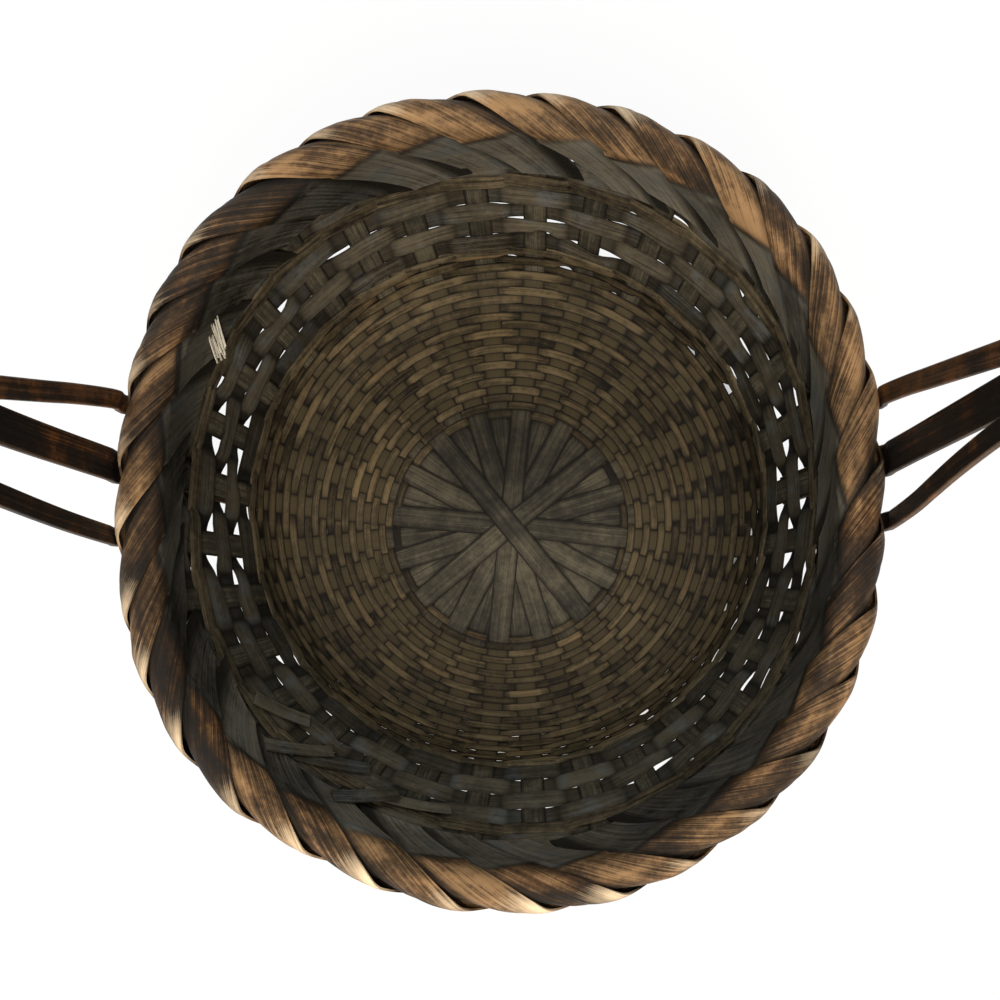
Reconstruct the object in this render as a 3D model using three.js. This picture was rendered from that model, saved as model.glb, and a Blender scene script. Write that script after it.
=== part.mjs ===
// Gathering basket: a round splint basket with star base, a woven wall, a twisted rope rim and a bail handle.
// Millimetres. The origin is the middle of the base on the ground, +Z is up, and the handle stands along X.
import * as THREE from 'three';

// Splints that cross in the base and turn up as stakes
const SPLINT_COUNT = 16;
const SPLINT_WIDTH = 9;
const SPLINT_THICKNESS = 0.35;
const LAYER_PITCH = 0.5;
const TOP_SPLINT = 11;
const DOME_SPREAD = 4 / 3;

// Bowl shape, measured on the middle of the splints
const FLOOR_RADIUS = 81.5;
const FLOOR_SHIFT = 6.75;
const CORNER_RADIUS = 25;
const RIM_HEIGHT = 86;
const RIM_RADIUS = 131;
const RIM_PINCH = 9;
const PINCH_SHARPNESS = 6;

// Close weaving of the base and corner
const CLOSE_WEAVE_START = 48;
const CLOSE_WEAVE_THICKNESS = 1;
const CORNER_WEAVE_TURN = THREE.MathUtils.degToRad(64);

// Open weaving of the wall
const WIDE_WEAVER_COUNT = 4;
const WIDE_WEAVER_HEIGHT = 8;
const WIDE_WEAVER_PITCH = 8.6;
const WIDE_WEAVER_THICKNESS = 0.5;
const WIDE_WEAVER_START = 24.8;
const STRAND_HEIGHT = 2;
const STRAND_THICKNESS = 0.9;
const STRAND_PITCH = 2.8;

// Rope rim
const ROPE_RADIUS = 8;
const ROPE_TURNS = 16;
const ROPE_GROOVE = 0.12;
const ROPE_FLANK = 0.62;

// Cut ends of the stakes, drawn down slantwise inside the rope over one another
const TAIL_THICKNESS = 0.8;
const TAIL_LOW = 62.5;
const TAIL_HIGH = 68.5;
const TAIL_CUT_PART = 0.2;

// Bail handle of three splints, tucked into the wall beside three stakes at each side
const HANDLE_THICKNESS = 2.2;
const HANDLE_MIDDLE_WIDTH = 11;
const HANDLE_OUTER_WIDTH = 6.5;
const HANDLE_RISE = 142;
const HANDLE_INWARD_PART = 0.5;
const HANDLE_TUCK_HEIGHT = 30;
const HANDLE_LEFT_BOW = 6;

// Legs: lean from the stake towards +Y where they pass the rope, and the way up from there to the bundle
const HANDLE_GATHER = 125;
const FRONT_LEFT_GATHER = 265;
const BACK_LEFT_GATHER = 80;
const FRONT_RIGHT_LEAN = 5;
const BACK_RIGHT_LEAN = -5;
const MIDDLE_LEFT_LEAN = -2;
const BACK_LEFT_LEAN = -6;

// Flat binding round the grip
const BINDING_LOOPS = 16;
const BINDING_WIDTH = 4.6;
const BINDING_THICKNESS = 0.5;
const BINDING_PITCH = 5.6;

// Clearances
const LAYER_GAP = 0.3;
const EDGE_GAP = 0.8;
const ROPE_GAP = 0.9;
const CLOSE_WEAVE_GAP = 0.5;

// Facets
const CORNER_STEPS = 5;
const ROUND_STEPS = 64;
const ROPE_STEPS_PER_TURN = 8;
const ROPE_FACETS = [54, 0, -54].map(THREE.MathUtils.degToRad);
const ARCH_STEPS = 32;
const GATHER_STEPS = 6;
const TAIL_STEPS = 4;

// Sizes that follow from the ones above
const STAKE_COUNT = 2 * SPLINT_COUNT;
const STAKE_ANGLE = 2 * Math.PI / STAKE_COUNT;
const FLOOR_MIDDLE = SPLINT_THICKNESS / 2;
const STAR_RADIUS = SPLINT_WIDTH / 2 / Math.tan(STAKE_ANGLE / 2);
const DOME_RADIUS = STAR_RADIUS * DOME_SPREAD;
const DOME_FLAT = SPLINT_WIDTH / 2 / Math.tan(2 * STAKE_ANGLE) + LAYER_GAP;
const DOME_HEIGHT = (SPLINT_COUNT - 1) * LAYER_PITCH;
const STAKE_TOP = RIM_HEIGHT - ROPE_RADIUS - LAYER_GAP;
const STRAND_EDGE = (WIDE_WEAVER_HEIGHT + STRAND_HEIGHT) / 2 + EDGE_GAP;
const LOWER_STRAND_HEIGHT = WIDE_WEAVER_START - STRAND_EDGE;
const UPPER_STRAND_HEIGHT = WIDE_WEAVER_START + (WIDE_WEAVER_COUNT - 1) * WIDE_WEAVER_PITCH + STRAND_EDGE;
const TOP_WEAVER_HEIGHT = UPPER_STRAND_HEIGHT + STRAND_PITCH + STRAND_EDGE;
const ROPE_SPLIT = Math.asin(LAYER_GAP / (ROPE_RADIUS * ROPE_FLANK));
const HANDLE_OFFSET = SPLINT_THICKNESS / 2 + LAYER_GAP + HANDLE_THICKNESS / 2;
const HANDLE_STACK = HANDLE_THICKNESS + LAYER_GAP;
const HANDLE_SPREAD = (HANDLE_OUTER_WIDTH + LAYER_GAP) / 2;

const UP = new THREE.Vector3(0, 0, 1);
const radial = (angle) => new THREE.Vector3(Math.cos(angle), Math.sin(angle), 0);
const tangential = (angle) => new THREE.Vector3(-Math.sin(angle), Math.cos(angle), 0);
const stakeAngle = (index) => STAKE_ANGLE * (index + 0.5);
const along = (origin, ...steps) => {
  const point = origin.clone();
  for (const [direction, distance] of steps) point.addScaledVector(direction, distance);
  return point;
};

// Joins a row of equal sections into one closed body, as a ring or with its two ends capped.
function sweep(sections, ring) {
  const sides = sections[0].length;
  const points = sections.flat();
  const faces = [];
  const spans = ring ? sections.length : sections.length - 1;
  for (let i = 0; i < spans; i++) {
    const from = i * sides;
    const to = ((i + 1) % sections.length) * sides;
    for (let j = 0; j < sides; j++) {
      const next = (j + 1) % sides;
      faces.push([from + j, from + next, to + next], [from + j, to + next, to + j]);
    }
  }
  if (!ring) {
    const last = (sections.length - 1) * sides;
    for (let j = 1; j < sides - 1; j++) {
      faces.push([0, j + 1, j], [last, last + j, last + j + 1]);
    }
  }
  let volume = 0;
  for (const [a, b, c] of faces) volume += points[a].dot(points[b].clone().cross(points[c]));
  const outward = volume > 0 ? faces : faces.map(([a, b, c]) => [a, c, b]);
  const geometry = new THREE.BufferGeometry().setFromPoints(points);
  geometry.setIndex(outward.flat());
  geometry.computeVertexNormals();
  return geometry;
}

// Flat section of a splint: width across, thickness along the normal.
function flatSection(centre, across, normal, width, thickness) {
  const corners = [[1, 1], [-1, 1], [-1, -1], [1, -1]];
  return corners.map(([a, n]) => along(centre, [across, a * width / 2], [normal, n * thickness / 2]));
}

// Radius of the rope's middle, drawn in towards the handle feet.
function rimRadius(angle) {
  return RIM_RADIUS - RIM_PINCH * Math.abs(Math.cos(angle)) ** PINCH_SHARPNESS;
}

// Radius of the flat floor round the star, which lies a little off the floor's middle.
function floorRadius(angle) {
  return FLOOR_SHIFT * Math.sin(angle) + Math.sqrt(FLOOR_RADIUS ** 2 - (FLOOR_SHIFT * Math.cos(angle)) ** 2);
}

// Angle that the corner turns through before the wall runs straight to the rope's middle.
function wallTurn(angle) {
  const run = rimRadius(angle) - floorRadius(angle);
  const rise = RIM_HEIGHT - FLOOR_MIDDLE - CORNER_RADIUS;
  const straight = Math.sqrt(run ** 2 + rise ** 2 - CORNER_RADIUS ** 2);
  return Math.atan2(rise, run) + Math.atan2(CORNER_RADIUS, straight);
}

// Point on the straight wall with the directions up along it and out of it.
function wallAt(angle, height) {
  const turn = wallTurn(angle);
  const out = radial(angle);
  const reach = rimRadius(angle) - (RIM_HEIGHT - height) / Math.tan(turn);
  return {
    point: along(new THREE.Vector3(), [out, reach], [UP, height]),
    up: along(new THREE.Vector3(), [out, Math.cos(turn)], [UP, Math.sin(turn)]),
    normal: along(new THREE.Vector3(), [out, Math.sin(turn)], [UP, -Math.cos(turn)]),
  };
}

// Layer of a splint in the star, so that two splints that cross far out lie far apart in the stack.
function starLayer(index) {
  let rest = (index - TOP_SPLINT - 1 + 2 * SPLINT_COUNT) % SPLINT_COUNT;
  let layer = 0;
  for (let weight = SPLINT_COUNT / 2; weight >= 1; weight /= 2) {
    layer += (rest % 2) * weight;
    rest = Math.floor(rest / 2);
  }
  return layer;
}

// Half of a splint from the star outwards: distance, height and tilt of its stations.
function splintHalf(angle, layer) {
  const turn = wallTurn(angle);
  const crown = layer * LAYER_PITCH * (1 - DOME_FLAT / DOME_RADIUS);
  const stations = [
    { reach: DOME_FLAT, height: FLOOR_MIDDLE + crown, tilt: 0 },
    { reach: DOME_RADIUS, height: FLOOR_MIDDLE, tilt: 0 },
  ];
  for (let step = 0; step <= CORNER_STEPS; step++) {
    const tilt = turn * step / CORNER_STEPS;
    stations.push({
      reach: floorRadius(angle) + CORNER_RADIUS * Math.sin(tilt),
      height: FLOOR_MIDDLE + CORNER_RADIUS * (1 - Math.cos(tilt)),
      tilt,
    });
  }
  const tip = rimRadius(angle) - (RIM_HEIGHT - STAKE_TOP) / Math.tan(turn);
  stations.push({ reach: tip, height: STAKE_TOP, tilt: turn });
  return stations;
}

function splint(index) {
  const angle = stakeAngle(index);
  const across = tangential(angle);
  const layer = starLayer(index);
  const section = (side, { reach, height, tilt }) => {
    const out = radial(angle).multiplyScalar(side);
    const centre = along(new THREE.Vector3(), [out, reach], [UP, height]);
    const normal = along(new THREE.Vector3(), [out, Math.sin(tilt)], [UP, -Math.cos(tilt)]);
    return flatSection(centre, across, normal, SPLINT_WIDTH, SPLINT_THICKNESS);
  };
  const far = splintHalf(angle + Math.PI, layer).reverse().map((station) => section(-1, station));
  const near = splintHalf(angle, layer).map((station) => section(1, station));
  return sweep([...far, ...near], false);
}

// Ring whose section, a closed outline of distance and height, is given at each angle.
function band(outlineAt) {
  const sections = [];
  for (let step = 0; step < ROUND_STEPS; step++) {
    const angle = 2 * Math.PI * step / ROUND_STEPS;
    const out = radial(angle);
    const outline = outlineAt(angle);
    sections.push(outline.map(([reach, height]) => along(new THREE.Vector3(), [out, reach], [UP, height])));
  }
  return sweep(sections, true);
}

function baseWeaving() {
  const bottom = SPLINT_THICKNESS + LAYER_GAP;
  const top = bottom + CLOSE_WEAVE_THICKNESS;
  const highest = Math.sqrt(CLOSE_WEAVE_START ** 2 - (SPLINT_WIDTH / 2) ** 2);
  const lift = DOME_HEIGHT * (1 - highest / DOME_RADIUS);
  const level = DOME_RADIUS + EDGE_GAP;
  return band((angle) => {
    const edge = floorRadius(angle) - LAYER_GAP;
    return [
      [CLOSE_WEAVE_START, bottom + lift], [level, bottom], [edge, bottom],
      [edge, top], [level, top], [CLOSE_WEAVE_START, top + lift],
    ];
  });
}

function cornerWeaving() {
  const outer = CORNER_RADIUS - SPLINT_THICKNESS / 2 - CLOSE_WEAVE_GAP;
  const arc = (angle, radius, step) => {
    const tilt = CORNER_WEAVE_TURN * step / CORNER_STEPS;
    const height = FLOOR_MIDDLE + CORNER_RADIUS - radius * Math.cos(tilt);
    return [floorRadius(angle) + radius * Math.sin(tilt), height];
  };
  const steps = [...Array(CORNER_STEPS + 1).keys()];
  return band((angle) => [
    ...steps.map((step) => arc(angle, outer, step)),
    ...steps.map((step) => arc(angle, outer - CLOSE_WEAVE_THICKNESS, step)).reverse(),
  ]);
}

// Handle splints: their width, and the stake, lean and gathering of their right and left legs.
const HANDLE_SPLINTS = {
  front: {
    width: HANDLE_OUTER_WIDTH, side: -1,
    right: { stake: -1, lean: FRONT_RIGHT_LEAN, gather: HANDLE_GATHER },
    left: { stake: SPLINT_COUNT, lean: 0, gather: FRONT_LEFT_GATHER },
  },
  middle: {
    width: HANDLE_MIDDLE_WIDTH, side: 0,
    right: { stake: 0, lean: 0, gather: HANDLE_GATHER },
    left: { stake: SPLINT_COUNT - 1, lean: MIDDLE_LEFT_LEAN, gather: HANDLE_GATHER },
  },
  back: {
    width: HANDLE_OUTER_WIDTH, side: 1,
    right: { stake: 1, lean: BACK_RIGHT_LEAN, gather: HANDLE_GATHER },
    left: { stake: SPLINT_COUNT - 2, lean: BACK_LEFT_LEAN, gather: BACK_LEFT_GATHER },
  },
};

function legWidthAt(stake) {
  const stands = (leg) => (leg.stake + STAKE_COUNT) % STAKE_COUNT === stake;
  const found = Object.values(HANDLE_SPLINTS).find(({ right, left }) => stands(right) || stands(left));
  return found ? found.width : 0;
}

// Woven hoop that passes outside and inside the stakes by turns, and outside the handle legs with them.
function hoop(row, height, tall, thickness) {
  const sections = [];
  for (let stake = 0; stake < STAKE_COUNT; stake++) {
    const angle = stakeAngle(stake);
    const leg = legWidthAt(stake);
    const outside = (stake + row) % 2 === 0;
    const pass = SPLINT_THICKNESS / 2 + LAYER_GAP + thickness / 2;
    const reachesLeg = leg > 0 && height + tall / 2 + EDGE_GAP > HANDLE_TUCK_HEIGHT;
    const overLeg = reachesLeg ? HANDLE_STACK : 0;
    const offset = outside ? pass + overLeg : -pass;
    const flat = Math.max(SPLINT_WIDTH, leg) / 2 + EDGE_GAP;
    const { point, up, normal } = wallAt(angle, height);
    for (const side of [-1, 1]) {
      const centre = along(point, [tangential(angle), side * flat], [normal, offset]);
      sections.push(flatSection(centre, up, normal, tall, thickness));
    }
  }
  return sweep(sections, true);
}

// Half-round section of a rim strand: angle from the strand's back, and distance from the rope's middle.
const ROPE_SECTION = [
  ...ROPE_FACETS.map((angle) => [angle, ROPE_RADIUS * (1 - ROPE_GROOVE * Math.abs(Math.sin(angle)))]),
  [ROPE_SPLIT - Math.PI / 2, ROPE_RADIUS * ROPE_FLANK],
  [0, LAYER_GAP],
  [Math.PI / 2 - ROPE_SPLIT, ROPE_RADIUS * ROPE_FLANK],
];

// One of the two strands that twist round each other into the rope rim.
function ropeStrand(start) {
  const steps = ROPE_TURNS * ROPE_STEPS_PER_TURN;
  const sections = [];
  for (let step = 0; step < steps; step++) {
    const angle = 2 * Math.PI * step / steps;
    const lay = start - ROPE_TURNS * angle;
    const out = radial(angle);
    const axis = along(new THREE.Vector3(), [out, rimRadius(angle)], [UP, RIM_HEIGHT]);
    sections.push(ROPE_SECTION.map(([turn, reach]) => (
      along(axis, [out, reach * Math.cos(lay + turn)], [UP, reach * Math.sin(lay + turn)])
    )));
  }
  return sweep(sections, true);
}

// Ring of overlapping stake ends inside the rope, cut off in slanting steps.
function rimTails() {
  const inset = SPLINT_THICKNESS / 2 + 2 * LAYER_GAP + WIDE_WEAVER_THICKNESS;
  const section = (angle, low) => {
    const { point, normal } = wallAt(angle, low);
    const out = radial(angle);
    const reach = rimRadius(angle) - ROPE_RADIUS - LAYER_GAP;
    const top = along(new THREE.Vector3(), [out, reach], [UP, RIM_HEIGHT]);
    const bottom = along(point, [normal, -inset]);
    return [
      bottom, top,
      along(top, [out, -TAIL_THICKNESS]), along(bottom, [out, -TAIL_THICKNESS]),
    ];
  };
  const sections = [];
  for (let stake = 0; stake < STAKE_COUNT; stake++) {
    for (let step = 0; step < TAIL_STEPS; step++) {
      const part = (1 - TAIL_CUT_PART) * step / (TAIL_STEPS - 1);
      const low = THREE.MathUtils.lerp(TAIL_LOW, TAIL_HIGH, step / (TAIL_STEPS - 1));
      sections.push(section(stakeAngle(stake + part), low));
    }
  }
  return sweep(sections, true);
}

// Where a handle leg stands clear of the rope, beside its stake; mirror is 1 at the right and -1 at the left.
function legFoot({ stake, lean }, mirror) {
  const angle = stakeAngle(stake) + mirror * lean / RIM_RADIUS;
  const normal = radial(angle);
  const reach = rimRadius(angle) + ROPE_RADIUS + ROPE_GAP + HANDLE_THICKNESS / 2;
  return { point: along(new THREE.Vector3(), [normal, reach], [UP, RIM_HEIGHT]), normal };
}

// Stations of a handle leg from its tucked end up past the rope.
function legStations(leg, mirror) {
  const angle = stakeAngle(leg.stake);
  const bend = TOP_WEAVER_HEIGHT + WIDE_WEAVER_HEIGHT / 2 + EDGE_GAP;
  const tucked = [HANDLE_TUCK_HEIGHT, bend].map((height) => {
    const { point, normal } = wallAt(angle, height);
    return { point: along(point, [normal, HANDLE_OFFSET]), normal };
  });
  const foot = legFoot(leg, mirror);
  const beside = [-ROPE_RADIUS / 2, ROPE_RADIUS].map((height) => (
    { point: along(foot.point, [UP, height]), normal: foot.normal }
  ));
  return [...tucked, ...beside];
}

const GRIP_FOOT = legFoot(HANDLE_SPLINTS.middle.right, 1).point;
const ARCH_RADIUS = GRIP_FOOT.x;
const SPRING_HEIGHT = RIM_HEIGHT + HANDLE_RISE;
const LEG_RISE = HANDLE_RISE - ROPE_RADIUS;

// Place of a leg along Y, at a way up from the rope: drawn straight from its foot into the bundle.
function legDrift(leg, mirror, shift, way) {
  const foot = legFoot(leg, mirror).point;
  return THREE.MathUtils.lerp(foot.y, GRIP_FOOT.y + shift, Math.min(way / leg.gather, 1));
}

// Point of the arch at an angle from +X, shifted along its normal and across it.
function archAt(angle, depth, shift) {
  const normal = new THREE.Vector3(Math.cos(angle), 0, Math.sin(angle));
  const spring = new THREE.Vector3(0, GRIP_FOOT.y + shift, SPRING_HEIGHT);
  return { point: along(spring, [normal, ARCH_RADIUS + depth]), normal };
}

// Leg above the rope: drawn under the middle splint, and at the left bowed out on the way.
function gatherStations(leg, depth, shift, mirror) {
  const foot = legFoot(leg, mirror).point;
  const stations = [];
  for (let step = 1; step < GATHER_STEPS; step++) {
    const part = step / GATHER_STEPS;
    const inward = THREE.MathUtils.smoothstep(part, 0, HANDLE_INWARD_PART);
    const bow = mirror < 0 ? HANDLE_LEFT_BOW * Math.sin(Math.PI * part) : 0;
    stations.push({
      point: new THREE.Vector3(
        THREE.MathUtils.lerp(foot.x, mirror * (ARCH_RADIUS + depth), inward) + mirror * bow,
        legDrift(leg, mirror, shift, LEG_RISE * part),
        RIM_HEIGHT + ROPE_RADIUS + LEG_RISE * part,
      ),
      normal: new THREE.Vector3(mirror, 0, 0),
    });
  }
  return stations;
}

function handleSplint({ right, left, width, side }) {
  const depth = side === 0 ? 0 : -HANDLE_STACK;
  const shift = side * HANDLE_SPREAD;
  const arch = [...Array(ARCH_STEPS + 1).keys()].map((step) => {
    const angle = Math.PI * step / ARCH_STEPS;
    const mirror = 2 * step < ARCH_STEPS ? 1 : -1;
    const way = LEG_RISE + ARCH_RADIUS * Math.min(angle, Math.PI - angle);
    const station = archAt(angle, depth, shift);
    station.point.y = legDrift(mirror > 0 ? right : left, mirror, shift, way);
    return station;
  });
  const stations = [
    ...legStations(right, 1), ...gatherStations(right, depth, shift, 1),
    ...arch,
    ...gatherStations(left, depth, shift, -1).reverse(), ...legStations(left, -1).reverse(),
  ];
  const sections = stations.map(({ point, normal }, i) => {
    const before = stations[Math.max(i - 1, 0)].point;
    const after = stations[Math.min(i + 1, stations.length - 1)].point;
    const forward = after.clone().sub(before).normalize();
    const across = forward.clone().cross(normal).normalize();
    const face = across.clone().cross(forward);
    return flatSection(point, across, face, width, HANDLE_THICKNESS);
  });
  return sweep(sections, false);
}

// Corners of one turn of the binding round the bundle: depth along the arch normal and shift across it.
const BINDING_LIFT = LAYER_GAP + BINDING_THICKNESS / 2;
const BINDING_TOP = HANDLE_THICKNESS / 2 + BINDING_LIFT;
const BINDING_BOTTOM = -HANDLE_STACK - HANDLE_THICKNESS / 2 - BINDING_LIFT;
const BINDING_SHOULDER = HANDLE_MIDDLE_WIDTH / 2 + LAYER_GAP;
const BINDING_SIDE = HANDLE_SPREAD + HANDLE_OUTER_WIDTH / 2 + BINDING_LIFT;
const BINDING_TURN = [
  [BINDING_TOP, BINDING_SHOULDER], [-HANDLE_THICKNESS / 2, BINDING_SIDE], [BINDING_BOTTOM, BINDING_SIDE],
  [BINDING_BOTTOM, -BINDING_SIDE], [-HANDLE_THICKNESS / 2, -BINDING_SIDE], [BINDING_TOP, -BINDING_SHOULDER],
];

// Outward direction at a corner of the turn, between the directions of its two sides.
function bindingFace(corner) {
  const count = BINDING_TURN.length;
  const before = BINDING_TURN[(corner + count - 1) % count];
  const here = BINDING_TURN[corner];
  const after = BINDING_TURN[(corner + 1) % count];
  const outOf = (from, to) => new THREE.Vector2(to[1] - from[1], from[0] - to[0]).normalize();
  return outOf(before, here).add(outOf(here, after)).normalize();
}

function gripBinding() {
  const corners = BINDING_TURN.length;
  const pitchAngle = BINDING_PITCH / ARCH_RADIUS;
  const start = Math.PI / 2 - pitchAngle * BINDING_LOOPS / 2;
  const sections = [];
  for (let step = 0; step <= BINDING_LOOPS * corners; step++) {
    const [depth, shift] = BINDING_TURN[step % corners];
    const face = bindingFace(step % corners);
    const { point, normal } = archAt(start + pitchAngle * step / corners, depth, shift);
    const forward = new THREE.Vector3(-normal.z, 0, normal.x);
    const outward = along(new THREE.Vector3(0, face.y, 0), [normal, face.x]);
    sections.push(flatSection(point, forward, outward, BINDING_WIDTH, BINDING_THICKNESS));
  }
  return { geometry: sweep(sections, false), sections, corners };
}

// Least distance between neighbouring turns of the binding, measured on points along its two edges.
function leastTurnGap(sections, corners) {
  const samples = 8;
  const edge = (corner, step, part) => sections[step][corner].clone().lerp(sections[step + 1][corner], part);
  let least = Infinity;
  for (let step = 0; step + 2 * corners < sections.length; step++) {
    for (let i = 0; i < samples; i++) {
      const point = edge(0, step, i / samples);
      for (let other = step + corners - 2; other <= step + corners + 2; other++) {
        for (let j = 0; j < samples; j++) {
          least = Math.min(least, point.distanceTo(edge(1, other, j / samples)));
        }
      }
    }
  }
  return least;
}

const DARK_SPLINT = { color: 0x4a3b2a, roughness: 0.75, metalness: 0 };
const WEAVER_SPLINT = { color: 0x57432c, roughness: 0.75, metalness: 0 };
const STRAND_SPLINT = { color: 0x6b5537, roughness: 0.75, metalness: 0 };
const RIM_SPLINT = { color: 0x7d5b35, roughness: 0.6, metalness: 0 };
const HANDLE_SPLINT = { color: 0x3c2a1e, roughness: 0.55, metalness: 0 };
const BINDING_SPLINT = { color: 0x6a4a2c, roughness: 0.65, metalness: 0 };

const basket = new THREE.Group();
basket.name = 'gathering_basket';

function add(name, geometry, look) {
  const mesh = new THREE.Mesh(geometry, new THREE.MeshStandardMaterial(look));
  mesh.name = name;
  basket.add(mesh);
}

for (let index = 0; index < SPLINT_COUNT; index++) {
  add(`splint_${String(index + 1).padStart(2, '0')}`, splint(index), DARK_SPLINT);
}
add('base_weaving', baseWeaving(), WEAVER_SPLINT);
add('corner_weaving', cornerWeaving(), WEAVER_SPLINT);
const wideRow = (height) => [height, WIDE_WEAVER_HEIGHT, WIDE_WEAVER_THICKNESS];
const fineRow = (height) => [height, STRAND_HEIGHT, STRAND_THICKNESS];
const ROWS = { lower_strand: [fineRow(LOWER_STRAND_HEIGHT), STRAND_SPLINT] };
for (let row = 0; row < WIDE_WEAVER_COUNT; row++) {
  ROWS[`wide_weaver_${row + 1}`] = [wideRow(WIDE_WEAVER_START + row * WIDE_WEAVER_PITCH), WEAVER_SPLINT];
}
ROWS.upper_strand_1 = [fineRow(UPPER_STRAND_HEIGHT), STRAND_SPLINT];
ROWS.upper_strand_2 = [fineRow(UPPER_STRAND_HEIGHT + STRAND_PITCH), STRAND_SPLINT];
ROWS.top_weaver = [wideRow(TOP_WEAVER_HEIGHT), WEAVER_SPLINT];
Object.entries(ROWS).forEach(([name, [size, look]], row) => add(name, hoop(row, ...size), look));
add('rim_strand_1', ropeStrand(0), RIM_SPLINT);
add('rim_strand_2', ropeStrand(Math.PI), RIM_SPLINT);
add('rim_tails', rimTails(), DARK_SPLINT);
for (const [name, leg] of Object.entries(HANDLE_SPLINTS)) {
  add(`handle_splint_${name}`, handleSplint(leg), HANDLE_SPLINT);
}
const binding = gripBinding();
add('grip_binding', binding.geometry, BINDING_SPLINT);
const turnGap = leastTurnGap(binding.sections, binding.corners);
console.log(`least gap between turns of the grip binding: ${turnGap.toFixed(2)} mm`);

export default basket;
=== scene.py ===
"""Gathering basket of dark hand-split splints: star base, woven wall, rolled rope rim and bail handle."""

import math
import random

import bpy
import numpy as np
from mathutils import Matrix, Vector


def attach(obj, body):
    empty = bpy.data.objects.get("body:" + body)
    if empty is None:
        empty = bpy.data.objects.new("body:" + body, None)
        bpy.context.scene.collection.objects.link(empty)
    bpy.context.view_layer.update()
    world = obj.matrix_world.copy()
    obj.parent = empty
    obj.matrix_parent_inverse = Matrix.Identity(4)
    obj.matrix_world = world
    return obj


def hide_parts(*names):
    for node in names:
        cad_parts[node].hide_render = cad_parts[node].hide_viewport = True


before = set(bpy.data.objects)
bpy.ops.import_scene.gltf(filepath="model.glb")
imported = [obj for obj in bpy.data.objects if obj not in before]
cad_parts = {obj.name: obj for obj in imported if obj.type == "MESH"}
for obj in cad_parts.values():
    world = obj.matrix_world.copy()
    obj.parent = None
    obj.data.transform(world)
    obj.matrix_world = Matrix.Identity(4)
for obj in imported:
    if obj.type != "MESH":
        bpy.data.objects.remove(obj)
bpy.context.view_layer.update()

# Draws of the handmade unevenness, and of the dark patches, wear and painted seam shade
chance = random.Random(4)
patches = random.Random(11)

# Sizes of the bowl in millimetres
MM = 0.001
FLOOR_LEVEL = 0.95
FLOOR_RADIUS = 81.5
FLOOR_SHIFT = 6.75
CORNER_RADIUS = 25.0
RIM_HEIGHT = 86.0
RIM_RADIUS = 131.0
RIM_PINCH = 9.0
# Place in degrees, spread in degrees and size of each dent or bulge of the rim
RIM_DENTS = ((243, 13, -2.6), (40, 16, 1.2), (200, 14, 1.0), (285, 16, 1.6), (120, 18, 0.8))

# Star splints, which turn up as stakes
SPLINTS = 16
STAKES = 2 * SPLINTS
STAKE_PITCH = 2 * math.pi / STAKES
STAKE_TOP = 80.0
SPLINT_WIDTH = 9.3
SPLINT_THICK = 0.4
SPLINT_CROWN = 0.12
STAR_EDGE = 50.0
STAR_FLAT = 7.0
STAR_LAYER = 0.42
STAR_SINK = 0.3
STAR_MARGIN = 4.0
TOP_SPLINT = 11
SWAY_START = 60.0
SWAY_RUN = 80.0
RUBBED_END = 116.0
# Painted shadow of the handle across the star: its middle and spread in millimetres
PAINTED_SHADOW_PLACE = (0.0, 30.0)
PAINTED_SHADOW_SPREAD = (34.0, 24.0)

# Close rows of the floor and the corner
CLOSE_ROWS = 21
CLOSE_START = 48.6
CLOSE_PITCH = 3.1
CLOSE_WIDTH = 3.2
CLOSE_THICK = 0.4
CLOSE_LIFT = 0.46
CLOSE_GIVE = 0.26
CLOSE_CROWN = 0.1
BELOW_PAIR = 1.9
FIRST_LOOSE_ROW = 14
STAR_RIDE = 0.6
RIDE_END = 56.0
RIDE_RUN = 8.0

# Wide rows and twined pairs of the wall
LOWER_PAIR = 19.4
WIDE_ROWS = 4
WIDE_START = 24.8
WIDE_PITCH = 8.6
WIDE_TALL = 9.1
WIDE_THICK = 0.5
WIDE_LIFT = 0.6
WIDE_CROWN = 0.2
ROW_REACH = 4.8
WALL_GIVE = 0.3
WALL_RADIUS = 118.0
UPPER_PAIRS = (56.4, 59.2)
TOP_ROW = 65.0
STRAND_WIDTH = 2.9
STRAND_FACE = 2.5
STRAND_THICK = 0.6
STRAND_LIFT = 0.75
STRAND_WAVE = 0.5
STRAND_CROWN = 0.2
STRAND_RADIUS = 120.0

# Rope rim, with the edges of a roll as parts of the way to the next one
ROPE_RADIUS = 8.0
ROPE_TURNS = STAKES // 2
ROPE_LAY = 1.6
ROLL_RADIUS = 8.2
ROLL_TUCK = 3.5
ROLL_LIP = 0.8
ROLL_SWELL = 0.5
ROLL_THICK = 0.7
ROLL_LONG = 95.0
ROLL_WIDE = 17.0
ROLL_FIRST = math.radians(-110)
ROLL_LAST = math.radians(172)
ROLLED_PART = 0.66
ROLL_LOW = 0.66
ROLL_HIGH = 0.64
TAIL_GAP = 1.2
TAIL_LEAN = 0.7
TAIL_START = 1.0
CORE_RADIUS = 5.0
CORE_THICK = 0.5
CORE_LONG = 800.0
CORE_ROUND = 34.0

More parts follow.
